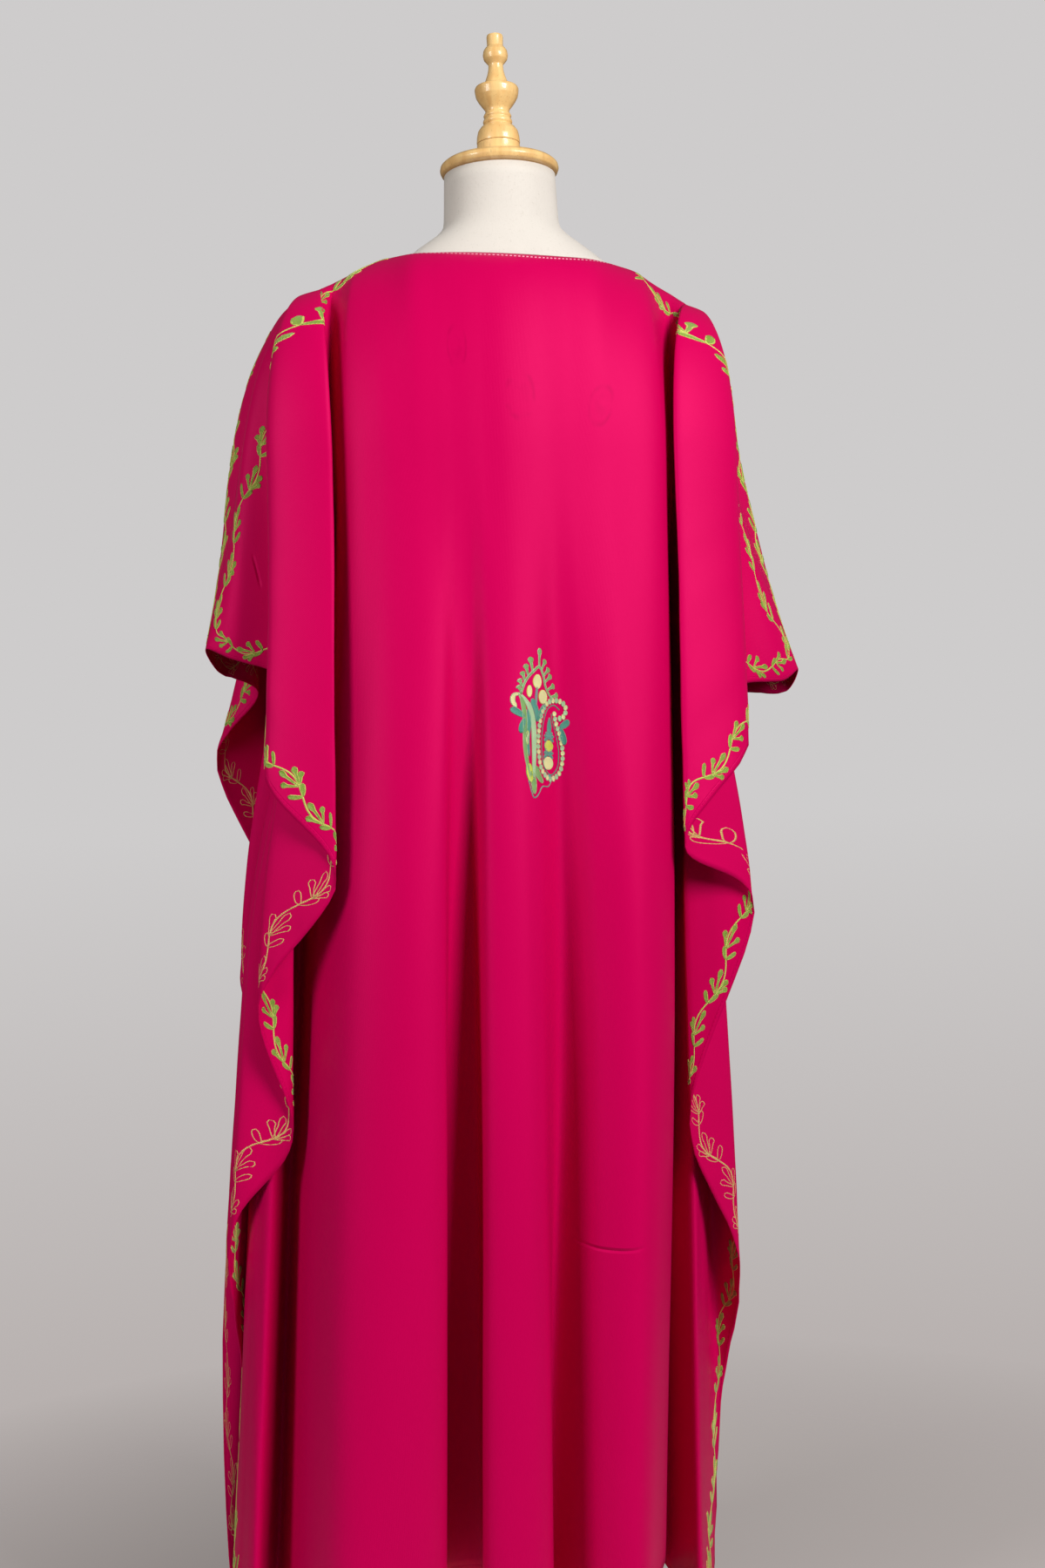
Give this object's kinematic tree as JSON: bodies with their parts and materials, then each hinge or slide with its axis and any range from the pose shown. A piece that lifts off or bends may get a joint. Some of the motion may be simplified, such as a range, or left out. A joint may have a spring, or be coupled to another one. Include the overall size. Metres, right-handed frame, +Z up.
{
  "type": "kaftan on dress form",
  "caption": "Loose magenta kaftan with free-hanging wing sleeves and open hem, draped on a limbless cream dress form with a turned wooden neck cap, pole and round base.",
  "frame": {"origin": "centre of the base's flat underside, on the pole's axis", "axes": "+Z up along the pole, the garment's front faces -Y and its back +Y, the wearer's left side is +X"},
  "size_m": [0.6334, 0.37, 1.731],
  "materials": {
    "magenta_cloth": "soft satin-faced crepe, magenta pink",
    "cream_linen": "taut plain linen, cream",
    "honey_wood": "clear-varnished, honey"
  },
  "bodies": {
    "root": {"back_panel": "magenta_cloth", "front_panel": "magenta_cloth", "form_torso": "cream_linen", "neck_cap": "honey_wood", "finial": "honey_wood", "pole": "honey_wood", "base": "honey_wood"}
  },
  "joints": []
}
